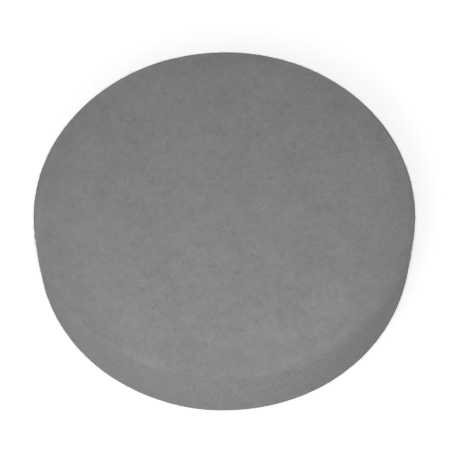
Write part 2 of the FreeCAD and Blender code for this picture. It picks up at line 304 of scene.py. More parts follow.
@dataclass(frozen=True)
class PressedWool(Finish):
    """Grey wool felt, pressed hard: dull, without a weave, a tangle of pale fibres in a mid grey."""

    shades: Stops = ((0.34, "#7b7e7d"), (0.5, "#848786"), (0.66, "#8d8f8e"))
    fibre: str = "#a3a5a4"
    cloud_size: float = 26 * MM
    clump_size: float = 3.4 * MM
    ply_size: float = 10.2 * MM
    ply_height: float = 1.1 * MM
    # How much of the shade each of the clouds, the clumps and the plies gives.
    shares: Tuple[float, ...] = (0.22, 0.52, 0.26)
    # Wool fibres are 0.02 to 0.04 mm thick, too fine to show. They are drawn about 0.1 mm thick, as
    # the edges of cells 0.8 mm across that a second pattern has pulled out of shape, in two layers.
    cell_size: float = 0.8 * MM
    tangle: float = 1.0 * MM
    fibre_width: float = 0.09 * MM
    fibre_share: float = 0.34
    layer_shift: float = 37 * MM
    # The outer part of the face is painted a little darker than its middle: painted shade at the
    # rolled-off rim.
    painted_shade_radii: Band = (60 * MM, 75 * MM)
    painted_shade_heights: Band = (53.5 * MM, 56.5 * MM)
    painted_rim_shade: float = 0.95
    # Along the shoulder the colour is paler in patches: a painted highlight where the shoulder catches
    # the light.
    painted_highlight_radii: Band = (71.0 * MM, 74.5 * MM)
    painted_highlight_heights: Band = (51.5 * MM, 55.5 * MM)
    painted_highlight_clouds: Band = (0.35, 0.65)
    painted_highlight_gain: float = 0.10

    def build(self) -> Material:
        """Makes the felt's material.

        Returns:
            The material.
        """
        tree = Paint(self.name)
        cloud = tree.add(NOISE, tree.spot, {"Scale": 1 / self.cloud_size})
        grain = {"Scale": 1 / self.clump_size, "Detail": 5.0, "Roughness": 0.6, "Distortion": 0.6}
        clump = tree.add(NOISE, tree.spot, grain)
        # Squashed along Z, so that the wall shows the layers in which the wool was carded.
        squash = {"Scale": (1.0, 1.0, self.ply_size / self.ply_height)}
        ply = tree.add(NOISE, tree.add(MAPPING, tree.spot, squash), {"Scale": 1 / self.ply_size})
        blend = 0.0
        for layer, share in zip((cloud, clump, ply), self.shares):
            blend = tree.add(MULTIPLY_ADD, layer, share, blend)
        tint = tree.add(RAMP, blend, stops=self.shades)
        strand = tree.add(MATH + "MAXIMUM", self.strand(tree, 0.0), self.strand(tree, self.layer_shift))
        shown = tree.add(MULTIPLY, strand, self.fibre_share)
        tangled = tree.add(MIX, {0: shown, 6: tint, 7: linear(self.fibre)}, data_type="RGBA")
        lumps = tree.add(BUMP, {"Height": clump, "Strength": 0.5, "Distance": 0.25 * MM})
        nap = {"Height": strand, "Strength": 0.4, "Distance": 0.04 * MM, "Normal": lumps}
        look = {
            # The colour carries painted shade on the face's outer part and a painted highlight along its
            # shoulder.
            "Base Color": tree.add(VECTOR_MATH + "SCALE", tangled, {"Scale": self.wear(tree, cloud)}),
            "Roughness": 0.95,
            "Diffuse Roughness": 0.15,
            "Specular IOR Level": 0.15,
            "Sheen Weight": 0.10,
            "Sheen Roughness": 0.6,
            "Normal": tree.add(BUMP, nap),
        }
        return tree.shade(look)

    def strand(self, tree: Paint, shift: float) -> Node:
        """Draws one layer of curling fibres.

        Args:
            tree: The felt's material.
            shift: How far the layer's pattern is moved, so that two layers differ.

        Returns:
            The node that gives 1 along the fibres and 0 between them.
        """
        moved = tree.add(MAPPING, tree.spot, {"Location": (shift,) * 3})
        pull = tree.add(NOISE, moved, {"Scale": 1 / (2 * self.cell_size)}).outputs["Color"]
        centred = tree.add(VECTOR_MATH + "SUBTRACT", pull, (0.5,) * 3)
        dragged = tree.add(VECTOR_MATH + "MULTIPLY_ADD", centred, (2 * self.tangle,) * 3, moved)
        grid = {"Vector": dragged, "Scale": 1 / self.cell_size}
        cells = tree.add("ShaderNodeTexVoronoi", grid, feature="DISTANCE_TO_EDGE")
        line = {"From Max": self.fibre_width / self.cell_size, "To Min": 1.0, "To Max": 0.0}
        return tree.add(MAP_RANGE, cells.outputs["Distance"], line, interpolation_type="SMOOTHSTEP")

    def wear(self, tree: Paint, cloud: Node) -> Node:
        """Paints shade on the outer part of the face and a painted highlight on its shoulder.

        Args:
            tree: The felt's material.
            cloud: The pattern that breaks the painted highlight on the shoulder into patches.

        Returns:
            The node that gives what the colour is multiplied by.
        """
        radius, height = tree.radius_and_height(tree.spot)
        outer, upper, at_shoulder, over_wall, highlight_patches = (
            tree.add(MAP_RANGE, value, *band, interpolation_type="SMOOTHSTEP")
            for value, band in (
                (radius, self.painted_shade_radii),
                (height, self.painted_shade_heights),
                (radius, self.painted_highlight_radii),
                (height, self.painted_highlight_heights),
                (cloud, self.painted_highlight_clouds),
            )
        )
        # Painted shade on the outer part of the face.
        rim = tree.add(MULTIPLY, outer, upper)
        shade = tree.add(MAP_RANGE, rim, {"To Min": 1.0, "To Max": self.painted_rim_shade})
        # Painted highlight along the shoulder, in patches.
        crest = tree.add(MULTIPLY, at_shoulder, over_wall)
        patchy = tree.add(MULTIPLY, crest, highlight_patches)
        return tree.add(MULTIPLY_ADD, patchy, self.painted_highlight_gain, shade)


@dataclass(frozen=True)
class LooseWool(Finish):
    """Single fibres that stand off the felt: the felt's own greys, thin enough to catch the light."""

    shades: Stops = ((0.35, "#878a89"), (0.65, "#a8aaa9"))
    patch_size: float = 1.5 * MM

    def build(self) -> Material:
        """Makes the fibres' material, whose grey changes from one fibre to the next.

        Returns:
            The material.
        """
        tree = Paint(self.name)
        patch = tree.add(NOISE, tree.spot, {"Scale": 1 / self.patch_size, "Detail": 1.0})
        look = {
            "Base Color": tree.add(RAMP, patch, stops=self.shades),
            "Roughness": 0.8,
            "Specular IOR Level": 0.2,
            "Sheen Weight": 0.2,
            "Sheen Roughness": 0.5,
        }
        return tree.shade(look)


@dataclass(frozen=True)
class DriedContactCement(Finish):
    """Neoprene contact cement, brushed on and dried: amber, rubbery, glossier where it is thick."""

    shades: Stops = ((0.35, "#8a5f26"), (0.68, "#b98f4e"))
    streak_size: float = 4 * MM

    def build(self) -> Material:
        """Makes the cement's material.

        Returns:
            The material.
        """
        tree = Paint(self.name)
        grain = {"Scale": 1 / self.streak_size, "Detail": 4.0, "Distortion": 0.8}
        streak = tree.add(NOISE, tree.spot, grain)
        look = {
            "Base Color": tree.add(RAMP, streak, stops=self.shades),
            "Roughness": tree.add(MAP_RANGE, streak, {"To Min": 0.28, "To Max": 0.6}),
            "IOR": 1.52,
            "Normal": tree.add(BUMP, {"Height": streak, "Strength": 0.6, "Distance": 0.3 * MM}),
        }
        return tree.shade(look)


@dataclass(frozen=True)
class TurnedMetal(Finish):
    """Metal faced and turned in a lathe: rings round the spin axis, and a brighter handled edge."""

    # Rings of both shades lie side by side, as the tool's passes tear or burnish the metal.
    shine: str = "#abadac"
    dull: str = "#7b7d7f"
    # The tool's feed is about 0.15 mm a turn. Drawn at 0.7 mm, the finest that shows.
    feed: float = 0.7 * MM
    groove_depth: float = 0.02 * MM
    patch_size: float = 18 * MM
    patch_share: float = 0.15
    # The pattern's own darkest and brightest values, and how rough the metal is at each.
    span: Band = (0.36, 0.64)
    roughness: Band = (0.42, 0.26)
    anisotropy: float = 0.6
    # From the one radius to the other the edge is more and more burnished by handling.
    edge_radii: Band = (68.8 * MM, 69.6 * MM)
    edge_shine: float = 0.3

    def build(self) -> Material:
        """Makes the turned metal's material.

        Returns:
            The material.
        """
        tree = Paint(self.name)
        clouds = {"Scale": 1 / self.patch_size, "Detail": 5.0, "Roughness": 0.6}
        patch = tree.add(NOISE, tree.spot, clouds)
        radius, height = tree.radius_and_height(tree.spot)
        # Radius on faces, height on walls: their sum counts the tool's passes over both.
        turns = tree.add(MULTIPLY, tree.add(ADD, radius, height), 1 / self.feed)
        passes = {"W": turns, "Scale": 1.0, "Detail": 3.0, "Roughness": 0.65}
        groove = tree.add(NOISE, passes, noise_dimensions="1D")
        grooves = tree.add(MULTIPLY, groove, 1 - self.patch_share)
        mottled = tree.add(MULTIPLY_ADD, patch, self.patch_share, grooves)
        edge = tree.add(MAP_RANGE, radius, *self.edge_radii)
        burnish = tree.add(MAP_RANGE, mottled, *self.span)
        handled = tree.add(MULTIPLY_ADD, edge, self.edge_shine, burnish)
        shades = {0: handled, 6: linear(self.dull), 7: linear(self.shine)}
        look = {
            "Base Color": tree.add(MIX, shades, data_type="RGBA"),
            "Metallic": 1.0,
            "Roughness": tree.add(MAP_RANGE, mottled, *self.span, *self.roughness),
            "Anisotropic": self.anisotropy,
            "Tangent": tree.add("ShaderNodeTangent", direction_type="RADIAL", axis="Z"),
            "Normal": tree.add(BUMP, {"Height": groove, "Strength": 0.6, "Distance": self.groove_depth}),
        }
        return tree.shade(look)


@dataclass(frozen=True)
class ScrewFinish(Finish):
    """Plated or blackened steel: a fine uneven film over rolled threads, in soft patches."""

    shades: Stops = ((0.4, "#a9a9a6"), (0.75, "#cfcfcc"))
    patch_size: float = 1.2 * MM
    metallic: float = 1.0
    # The pattern's own darkest and brightest values, and how rough the film is at each.
    span: Band = (0.3, 0.7)
    roughness: Band = (0.43, 0.27)

    def build(self) -> Material:
        """Makes the screw's material.

        Returns:
            The material.
        """
        tree = Paint(self.name)
        patch = tree.add(NOISE, tree.spot, {"Scale": 1 / self.patch_size, "Detail": 5.0})
        look = {
            "Base Color": tree.add(RAMP, patch, stops=self.shades),
            "Metallic": self.metallic,
            "Roughness": tree.add(MAP_RANGE, patch, *self.span, *self.roughness),
            "Normal": tree.add(BUMP, {"Height": patch, "Strength": 0.3, "Distance": 0.02 * MM}),
        }
        return tree.shade(look)


# ---- The felt ----


@dataclass
class FeltDisc:
    """The working part: one thick piece of pressed wool, lathed by rule and roughened like felt."""

    finish: PressedWool
    shoulder_radius: float = 3.2 * MM
    back_radius: float = 1.0 * MM
    roll_width: float = 13 * MM
    roll_drop: float = 0.95 * MM
    bonded_radius: float = BONDED_RADIUS
    # Over this height above the cemented back the relief comes in.
    relief_rise: float = 2 * MM
    sag_depth: float = 0.30 * MM
    sag_size: float = 48 * MM
    dent_depth: float = 0.13 * MM
    dent_size: float = 13 * MM
    lump_depth: float = 0.06 * MM
    lump_size: float = 3.2 * MM
    face_vertices: int = 169
    side_vertices: int = 47
    seed: float = 7.0

    def __post_init__(self) -> None:
        """Reads the disc's outside sizes from the frame, and measures round its half section."""
        low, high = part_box("felt_disc")
        self.radius = (high.x - low.x) / 2
        self.back = low.z
        self.thickness = high.z - low.z
        corners = math.pi / 2 * (self.shoulder_radius + self.back_radius)
        straight = self.thickness - self.shoulder_radius - self.back_radius
        self.face_run = self.radius - self.shoulder_radius
        self.side_run = straight + corners
        self.back_run = self.radius - self.back_radius

    def wrap(self, tree: Growth) -> Node:
        """Wraps a box's grid round the half section.

        Args:
            tree: The disc's tree.

        Returns:
            The node that gives the smooth disc.
        """
        # A closed box of quads, 2 by 2 by 1 about its origin. Its top becomes the face, its walls the
        # side and its bottom the back.
        counts = tree["Face Vertices"], tree["Face Vertices"], tree["Side Vertices"]
        box = tree.add("GeometryNodeMeshCube", (2.0, 2.0, 1.0), *counts)
        parts = tree.add(SEPARATE, tree.add(POSITION)).outputs
        reaches, bent = [], []
        for part in (parts["X"], parts["Y"]):
            reaches.append(tree.add(MATH + "ABSOLUTE", part))
            bent.append(tree.add(MATH + "TANGENT", tree.add(MULTIPLY, part, math.pi / 4)))
        reach = tree.add(MATH + "MAXIMUM", *reaches)
        bearing = tree.add(MATH + "ARCTAN2", bent[1], bent[0])

        # How far each vertex lies along the half section, from the middle of the face.
        down = tree.add(SUBTRACT, 0.5, parts["Z"])
        fallen = tree.add(MULTIPLY, down, tree["Side Run"])
        outside = tree.add(MULTIPLY_ADD, reach, tree["Face Run"], fallen)
        still_to_go = tree.add(SUBTRACT, 1.0, reach)
        to_back = tree.add(ADD, tree["Face Run"], tree["Side Run"])
        beneath = tree.add(MULTIPLY_ADD, still_to_go, tree["Back Run"], to_back)
        nearly_down = 0.9999
        is_back = tree.add(COMPARE + "GREATER_THAN", down, nearly_down)
        along = tree.add(SWITCH, is_back, outside, beneath, input_type="FLOAT")
        walk = {"Curves": self.section(tree), "Length": along}
        stop = tree.add("GeometryNodeSampleCurve", walk, mode="LENGTH").outputs["Position"]
        profile = tree.add(SEPARATE, stop).outputs

        turns = (tree.add(MATH + wave, bearing) for wave in ("COSINE", "SINE"))
        across = [tree.add(MULTIPLY, profile["X"], turn) for turn in turns]
        spot = tree.add(COMBINE, *across, self.roll(tree, profile["X"], profile["Z"]))
        return tree.add("GeometryNodeSetPosition", box, {"Position": spot})

    def section(self, tree: Growth) -> Node:
        """Draws the half section: the face, the side with both corners, and the back.

        Args:
            tree: The disc's tree.

        Returns:
            The node that gives the section as a curve.
        """
        wide, high = tree["Radius"], tree["Thickness"]
        corners = {
            "Point 1": tree.add(COMBINE, {"Z": high}),
            "Point 2": tree.add(COMBINE, {"X": wide, "Z": high}),
            "Point 3": tree.add(COMBINE, {"X": wide}),
            "Point 4": (0.0, 0.0, 0.0),
        }
        square = tree.add("GeometryNodeCurvePrimitiveQuadrilateral", corners, mode="POINTS")
        index = tree.add("GeometryNodeInputIndex")
        rounding = 0.0
        for number, label in ((2, "Back Radius"), (1, "Shoulder Radius")):
            here = tree.add(COMPARE + "EQUAL", {2: index, 3: number}, data_type="INT")
            rounding = tree.add(SWITCH, here, rounding, tree[label], input_type="FLOAT")
        rounded = {"Curve": square, "Count": 12, "Radius": rounding}
        return tree.add("GeometryNodeFilletCurve", rounded, mode="POLY")

    def roll(self, tree: Growth, radius: Socket, height: Socket) -> Node:
        """Rolls the face off towards its rim, and shortens the side with it.

        Args:
            tree: The disc's tree.
            radius: Distance from the spin axis.
            height: Height over the back, before the roll.

        Returns:
            The node that gives the height in the frame, after the roll.
        """
        flat_edge = tree.add(SUBTRACT, tree["Radius"], tree["Roll Width"])
        rolled = tree.add(MAP_RANGE, radius, {"From Min": flat_edge, "From Max": tree["Radius"]})
        share = tree.add(MATH + "DIVIDE", height, tree["Thickness"])
        lowered = tree.add(MULTIPLY, tree.add(MATH + "POWER", rolled, 2.0), share)
        drop = tree.add(MULTIPLY, lowered, tree["Roll Drop"])
        return tree.add(ADD, tree.add(SUBTRACT, height, drop), tree["Back"])

    def roughen(self, tree: Growth, smooth: Node) -> Node:
        """Adds the felt's relief, three sizes of it, everywhere but where it is cemented down.

        Args:
            tree: The disc's tree.
            smooth: The node that gives the disc without relief.

        Returns:
            The node that gives the disc with it.
        """
        spot = tree.add(POSITION)
        radius, level = tree.radius_and_height(spot)
        height = tree.add(SUBTRACT, level, tree["Back"])
        overhang = {"From Min": tree["Bonded Radius"], "From Max": tree["Radius"]}
        above_back = tree.add(MAP_RANGE, height, {"From Max": tree["Relief Rise"]})
        loose = tree.add(MATH + "MAXIMUM", tree.add(MAP_RANGE, radius, overhang), above_back)
        relief = 0.0
        for label, detail in (("Sag", 0.0), ("Dent", 2.0), ("Lump", 3.0)):
            pitch = tree.add(MATH + "DIVIDE", 1.0, tree[label + " Size"])
            layer = tree.add(NOISE, spot, tree["Seed"], pitch, detail, noise_dimensions="4D")
            signed = tree.add(MAP_RANGE, layer, {"To Min": -1.0, "To Max": 1.0})
            relief = tree.add(MULTIPLY_ADD, signed, tree[label + " Depth"], relief)
        push = {"Scale": tree.add(MULTIPLY, relief, loose)}
        offset = tree.add(VECTOR_MATH + "SCALE", tree.add("GeometryNodeInputNormal"), push)
        return tree.add("GeometryNodeSetPosition", smooth, {"Offset": offset})

    def build(self) -> Piece:
        """Makes the felt as one closed mesh in its finish, which replaces the plain solid.

        Returns:
            The felt.
        """
        tree = Growth("pressed_felt_disc", self)
        piece = tree.grow("felt_disc_pressed", self.roughen(tree, self.wrap(tree)))
        settle(piece, Body.WHEEL, ["felt_disc"])
        return piece


@dataclass
class WoolNap:
    """Loose fibres over one zone of the felt: short, bent, mostly lying down, and a few astray."""

    name: str
    finish: LooseWool
    felt: Piece
    # The fibres' roots lie between these heights, and never on the cemented back.
    lowest: float
    highest: float
    seed: int
    bonded_radius: float = BONDED_RADIUS
    # Roots to a square metre of felt.
    density: float = 520e3
    length: float = 1.5 * MM
    rise: float = 0.2 * MM
    # A wool fibre is 0.03 mm thick. Drawn at 0.07 mm, so that the longest ones show.
    thickness: float = 0.07 * MM
    # A fibre tilts up by this angle times a random share, raised to a power that keeps most flat.
    stray_tilt: float = math.radians(50)
    stray_power: float = 5.0

    def __post_init__(self) -> None:
        """Finds the height, just over the felt's back, above which fibres may grow."""
        margin = 0.5 * MM
        self.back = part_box("felt_disc")[0].z + margin

    def zone(self, tree: Growth) -> Node:
        """Picks the faces between two heights that aren't cemented down.

        Args:
            tree: The nap's tree.

        Returns:
            The node that gives the selection.
        """
        radius, height = tree.radius_and_height(tree.add(POSITION))
        above = COMPARE + "GREATER_THAN"
        past_plate = tree.add(above, radius, tree["Bonded Radius"])
        bare = tree.add(BOOLEAN + "OR", past_plate, tree.add(above, height, tree["Back"]))
        under = tree.add(COMPARE + "LESS_EQUAL", height, tree["Highest"])
        between = tree.add(BOOLEAN + "AND", tree.add(above, height, tree["Lowest"]), under)
        return tree.add(BOOLEAN + "AND", bare, between)

    def fibres(self, tree: Growth) -> Node:
        """Makes three shapes of fibre, each a closed tube that tapers to its end.

        Args:
            tree: The nap's tree.

        Returns:
            The node that gives the three as instances.
        """
        half = tree.add(MULTIPLY, tree["Thickness"], 0.5)
        outline = tree.add("GeometryNodeCurvePrimitiveCircle", {"Resolution": 3, "Radius": half})
        # Each root starts a fibre's thickness under the felt's surface.
        root = tree.add(COMBINE, {"Z": tree.add(MULTIPLY, half, -2.0)})
        along = tree.add("GeometryNodeSplineParameter")
        taper = tree.add(MAP_RANGE, along, {"To Min": 1.0, "To Max": 0.35})
        half_way = tree.add(MULTIPLY, tree["Length"], 0.5)
        arch = tree.add(MULTIPLY, tree["Rise"], 2.0)
        shapes = tree.add("GeometryNodeJoinGeometry")
        # How far each shape bows sideways, and how high its end lies, as shares of length and rise.
        for bow, lift in ((-0.45, 0.2), (0.12, 1.0), (0.6, -0.3)):
            crest = tree.add(COMBINE, half_way, tree.add(MULTIPLY, tree["Length"], bow), arch)
            tip = tree.add(COMBINE, {"X": tree["Length"], "Z": tree.add(MULTIPLY, tree["Rise"], lift)})
            path = tree.add("GeometryNodeCurveQuadraticBezier", 3, root, crest, tip)
            tube = {"Scale": taper, "Fill Caps": True}
            fibre = tree.add("GeometryNodeCurveToMesh", path, outline, tube)
            tree.plug(shapes, tree.add("GeometryNodeGeometryToInstance", fibre))
        return shapes

    def lay(self, tree: Growth, facing: Socket) -> Node:
        """Turns each fibre about its root, and tilts the few that stand up.

        Args:
            tree: The nap's tree.
            facing: The rotation that stands a fibre on its face.

        Returns:
            The node that gives the rotation.
        """
        luck = tree.add(RANDOM, {2: 0.0, 3: 1.0, "Seed": tree["Seed"]}, data_type="FLOAT")
        rarely = tree.add(MATH + "POWER", luck, tree["Stray Power"])
        tilt = tree.add(MULTIPLY, rarely, tree["Stray Tilt"])
        upwards = tree.add(EULER, tree.add(COMBINE, {"Y": tree.add(MULTIPLY, tilt, -1.0)}))
        rotation = facing
        for by in (tree.any_turn(), upwards):
            rotation = tree.add("FunctionNodeRotateRotation", rotation, by, rotation_space="LOCAL")
        return rotation

    def build(self) -> Piece:
        """Sows the fibres over a copy of the felt's mesh and keeps only the fibres.

        Returns:
            The fibres as one piece.
        """
        tree = Growth("wool_nap", self)
        seed = {"Seed": tree["Seed"]}
        area = {"Selection": self.zone(tree), "Density": tree["Density"], **seed}
        roots = tree.add("GeometryNodeDistributePointsOnFaces", tree["Base"], area)
        least, most = (0.4, 0.5, 0.3), (1.4, 1.5, 1.5)
        planted = {
            "Instance": self.fibres(tree),
            "Pick Instance": True,
            "Instance Index": tree.add(RANDOM, {4: 0, 5: 2, **seed}, data_type="INT"),
            "Rotation": self.lay(tree, roots.outputs["Rotation"]),
            "Scale": tree.add(RANDOM, least, most, seed, data_type="FLOAT_VECTOR"),
        }
        sown = tree.add("GeometryNodeInstanceOnPoints", roots, planted)
        piece = tree.grow(self.name, sown, base=self.felt.data.copy())
        return settle(piece, Body.WHEEL)


# ---- The cement and the screws ----


def ring(count: int, radius: Callable[[float], float], height: float) -> Ring:
    """A level ring of points about Z, from a radius for each bearing in radians."""
    bearings = (2 * math.pi * i / count for i in range(count))
    return [Vector((radius(a) * math.cos(a), radius(a) * math.sin(a), height)) for a in bearings]


def pole(height: float) -> Ring:
    """The one point on the axis that closes a surface."""
    return [Vector((0.0, 0.0, height))]


def skin(name: str, rings: Sequence[Ring], crease: float) -> Mesh:
    """Closes a surface over rings that climb its outside from a lower pole to an upper one.

    Args:
        name: The mesh's name.
        rings: Rings of equal count, between a first and a last ring of one point each.
        crease: Faces that meet at more than this angle, in degrees, keep a sharp edge.

    Returns:
        The closed mesh, facing outwards.
    """
    points = [point for one in rings for point in one]
    count = len(rings[1])
    pairs = [(i, (i + 1) % count) for i in range(count)]
    faces = [(0, 1 + j, 1 + i) for i, j in pairs]
    top, end = len(points) - 1 - count, len(points) - 1
    for low in range(1, top, count):
        high = low + count
        faces += [(low + i, low + j, high + j, high + i) for i, j in pairs]
    faces += [(top + i, top + j, end) for i, j in pairs]
    mesh = bpy.data.meshes.new(name)
    mesh.from_pydata(points, [], faces)
    mesh.shade_smooth()
    mesh.set_sharp_from_angle(angle=math.radians(crease))
    return mesh


def place(mesh: Mesh, material: Material) -> Piece:
    """Puts a finished mesh in the scene.

    Args:
        mesh: The mesh, already in place.
        material: Its only material.

    Returns:
        The piece, named as its mesh is.
    """
    mesh.materials.append(material)
    piece = bpy.data.objects.new(mesh.name, mesh)
    bpy.context.scene.collection.objects.link(piece)
    return piece


@dataclass
class CementFilm:
    """The film between felt and plate, with the uneven bead that squeezed out round its edge."""

    finish: DriedContactCement
    columns: int = 720
    crease: float = 60.0
    least_squeeze: float = 0.10 * MM
    most_squeeze: float = 0.62 * MM
    # About this far apart, round the rim, the bead swells and thins.
    bead_spacing: float = 7 * MM
    # The bead's section going up, as shares of the squeeze-out and of the film's thickness.
    bead: Tuple[Band, ...] = (
        (0.0, 0.0), (0.55, -0.12), (0.9, 0.15), (1.0, 0.5), (0.85, 0.85), (0.5, 1.0)
    )
    # The share of the film's radius that is flat.
    flat: float = 0.97

    def squeeze(self, bearing: float, radius: float) -> float:
        """Says how far the cement stands out at a bearing round the rim.

        Args:
            bearing: The bearing in radians.
            radius: The film's radius.

        Returns:
            The distance past that radius.
        """
        step = radius / self.bead_spacing
        there = Vector((math.cos(bearing) * step, math.sin(bearing) * step, 0.0))
        swell = 0.5 + 0.5 * noise.fractal(there, 1.0, 2.0, 3)
        span = self.most_squeeze - self.least_squeeze
        return self.least_squeeze + span * min(max(swell, 0.0), 1.0)

    def build(self) -> Piece:
        """Makes the film and its bead as one closed piece.

        Returns:
            The cement.
        """
        low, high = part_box("cement_film")
        edge = (high.x - low.x) / 2
        depth = high.z - low.z
        bottom, top = (ring(self.columns, lambda a: edge * self.flat, z) for z in (low.z, high.z))
        rim = [
            ring(self.columns, lambda a: edge + out * self.squeeze(a, edge), low.z + rise * depth)
            for out, rise in self.bead
        ]
        rings = [pole(low.z), bottom, *rim, top, pole(high.z)]
        piece = place(skin("cement_film_dried", rings, self.crease), self.finish.build())
        return settle(piece, Body.WHEEL, ["cement_film"])


@dataclass
class SocketScrew:
    """A screw with a rolled thread and a hexagon socket, from its tip at the origin up along +Z.

    It is a set screw with a cup point, unless it is given other sizes.
    """

    length: float
    radius: float
    pitch: float = 1.27 * MM
    socket_depth: float = 3.4 * MM
    tip_chamfer: float = 0.7 * MM
    top_chamfer: float = 0.7 * MM
    cup_radius: float = 1.695 * MM
    cup_depth: float = 0.9 * MM
    head_radius: float = 0.0
    head_height: float = 0.0
    socket_corner_radius: float = 1.835 * MM
    # The drill's point under the socket, as a share of the socket's corner radius.
    drill_point: float = 0.3
    # As shares of the pitch: how deep the thread is, and how wide its crest and each flank are.
    thread_depth: float = 0.6134
    crest: float = 0.125
    flank: float = 0.3125
    crease: float = 32.0
    columns: int = 60
    rows_per_turn: int = 14

    def thread(self, turn: float) -> float:
        """The thread's height at a turn of its helix: 0 on the crest and 1 in the root."""
        along = turn % 1.0
        return max(0.0, min(1.0, (along - self.crest) / self.flank, (1.0 - along) / self.flank))

    def shank(self, height: float, top: float) -> Ring:
        """Draws one ring of the threaded shank, cut back by the chamfers at its ends.

        Args:
            height: The ring's height above the tip.
            top: Height where the thread ends.

        Returns:
            The ring.
        """
        at_tip = self.radius - self.tip_chamfer + height
        at_top = self.radius - self.top_chamfer + (top - height)
        limit = min(self.radius, at_tip, at_top)
        depth = self.thread_depth * self.pitch
        turns = height / self.pitch
        return ring(
            self.columns,
            lambda a: min(limit, self.radius - depth * self.thread(turns - a / (2 * math.pi))),
            height,
        )

    def level(self, radius: float, height: float) -> Ring:
        """A plain round ring."""
        return ring(self.columns, lambda a: radius, height)

    def hexagon(self, height: float) -> Ring:
        """A ring of the socket's six-sided wall."""
        side, flat = math.pi / 3, self.socket_corner_radius * math.cos(math.pi / 6)
        return ring(self.columns, lambda a: flat / math.cos((a + 1e-9) % side - side / 2), height)

    def mesh(self, name: str) -> Mesh:
        """Builds the screw.

        Args:
            name: The mesh's name.

        Returns:
            One closed mesh.
        """
        rings = [pole(0.0)]
        if self.cup_depth:
            rings = [pole(self.cup_depth), self.level(self.cup_radius, 0.0)]
        top = self.length - self.head_height
        steps = round(top / self.pitch * self.rows_per_turn)
        rings.extend(self.shank(top * i / steps, top) for i in range(steps + 1))
        if self.head_height:
            rings += [self.level(self.radius, top), self.level(self.head_radius, self.length)]
        floor = self.length - self.socket_depth
        point = floor - self.socket_corner_radius * self.drill_point
        rings += [self.hexagon(self.length), self.hexagon(floor), pole(point)]
        return skin(name, rings, self.crease)


@dataclass
class SetScrew:
    """One cup-point set screw in the hub's barrel, on a body of its own."""

    node: str
    body: Body
    heading: Vector
    material: Material

    def build(self) -> Piece:
        """Makes the screw where its solid lies, point towards the axis.

        Returns:
            The screw.
        """
        low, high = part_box(self.node)
        half = (high - low) / 2
        reach = abs(half.dot(self.heading))
        mesh = SocketScrew(length=2 * reach, radius=half.z).mesh(self.node + "_threaded")
        turn = self.heading.to_track_quat("Z", "Y").to_matrix().to_4x4()
        turn.translation = (low + high) / 2 - self.heading * reach
        mesh.transform(turn)
        return settle(place(mesh, self.material), self.body, [self.node])


@dataclass
class FlatHeadScrew(SocketScrew):
    """A plate screw, which has a countersunk head, and no cup in its point."""

    radius: float = 2.415 * MM
    pitch: float = 1.058 * MM
    socket_depth: float = 1.8 * MM
    tip_chamfer: float = 0.4 * MM
    top_chamfer: float = 0.0
    cup_depth: float = 0.0
    head_angle: float = 82.0
    columns: int = 48
    rows_per_turn: int = 12

    def __post_init__(self) -> None:
        """Works out the head's height from its cone."""
        slope = math.tan(math.radians(self.head_angle / 2))
        self.head_height = (self.head_radius - self.radius) / slope


@dataclass
class PlateScrews:
    """The flat-head screws between plate and hub, one pattern copied round the screw circle."""

    finish: ScrewFinish
    count: int = 4
    seed: int = 3

    def __post_init__(self) -> None:
        """Reads the circle's place and the screws' size from the frame."""
        self.nodes = ["plate_screw_%d" % (i + 1) for i in range(self.count)]
        low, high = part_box(self.nodes[0])
        self.circle_radius = (low.x + high.x) / 2
        self.height = low.z
        self.screw = FlatHeadScrew(length=high.z - low.z, head_radius=(high.y - low.y) / 2)

    def build(self) -> Piece:
        """Makes the screws as one piece, each turned at random, which replaces their solids.

        Returns:
            The screws.
        """
        tree = Growth("screw_circle", self)
        circle = tree.add("GeometryNodeMeshCircle", tree["Count"], tree["Circle Radius"])
        each = {"Instance": tree["Base"], "Rotation": tree.any_turn()}
        copies = tree.add("GeometryNodeInstanceOnPoints", circle, each)
        lift = {"Translation": tree.add(COMBINE, {"Z": tree["Height"]})}
        shape = tree.add("GeometryNodeTransform", copies, lift)
        pattern = self.screw.mesh("plate_screw_pattern")
        piece = tree.grow("plate_screws_threaded", shape, base=pattern)
        return settle(piece, Body.WHEEL, self.nodes)


@dataclass
class Backing:
    """The turned pieces whose solids are shown as they are: the plate and the hub."""

    plate_finish: TurnedMetal
    hub_finish: TurnedMetal

    def dress(self) -> None:
        """Puts the turned finishes in the solids' own material slots."""
        for node, finish in (("backing_plate", self.plate_finish), ("hub", self.hub_finish)):
            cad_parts[node].material_slots[0].material = finish.build()
            log.info("%s: dressed in %s", node, finish.name)


# ---- Floor, lights and camera ----


def towards(azimuth: float, elevation: float) -> Vector:
    """The unit vector outwards, at degrees to the right of the front and degrees above the floor."""
    a, e = math.radians(azimuth), math.radians(elevation)
    return Vector((math.sin(a) * math.cos(e), -math.cos(a) * math.cos(e), math.sin(e)))


def aim(thing: Piece, target: Vector, away: Vector, distance: float) -> None:
    """Sets up a light or a camera, upright and facing its target.

    Args:
        thing: The light or the camera.
        target: The point that it faces.
        away: The unit vector from the target to it.
        distance: How far off it stands.
    """
    thing.location = target + away * distance
    thing.rotation_mode = "QUATERNION"
    thing.rotation_quaternion = (-away).to_track_quat("-Z", "Y")
    bpy.context.scene.collection.objects.link(thing)


def seen(tree: Tree) -> Node:
    """Adds nodes that tell what is seen from what gives light.

    Args:
        tree: The tree that gets the nodes.

    Returns:
        The node that gives 1 for rays from the camera and through gloss or glass, and 0 for light.
    """
    path = tree.add("ShaderNodeLightPath").outputs
    mirrored = tree.add(MATH + "MAXIMUM", path["Is Camera Ray"], path["Is Glossy Ray"])
    return tree.add(MATH + "MAXIMUM", mirrored, path["Is Transmission Ray"])


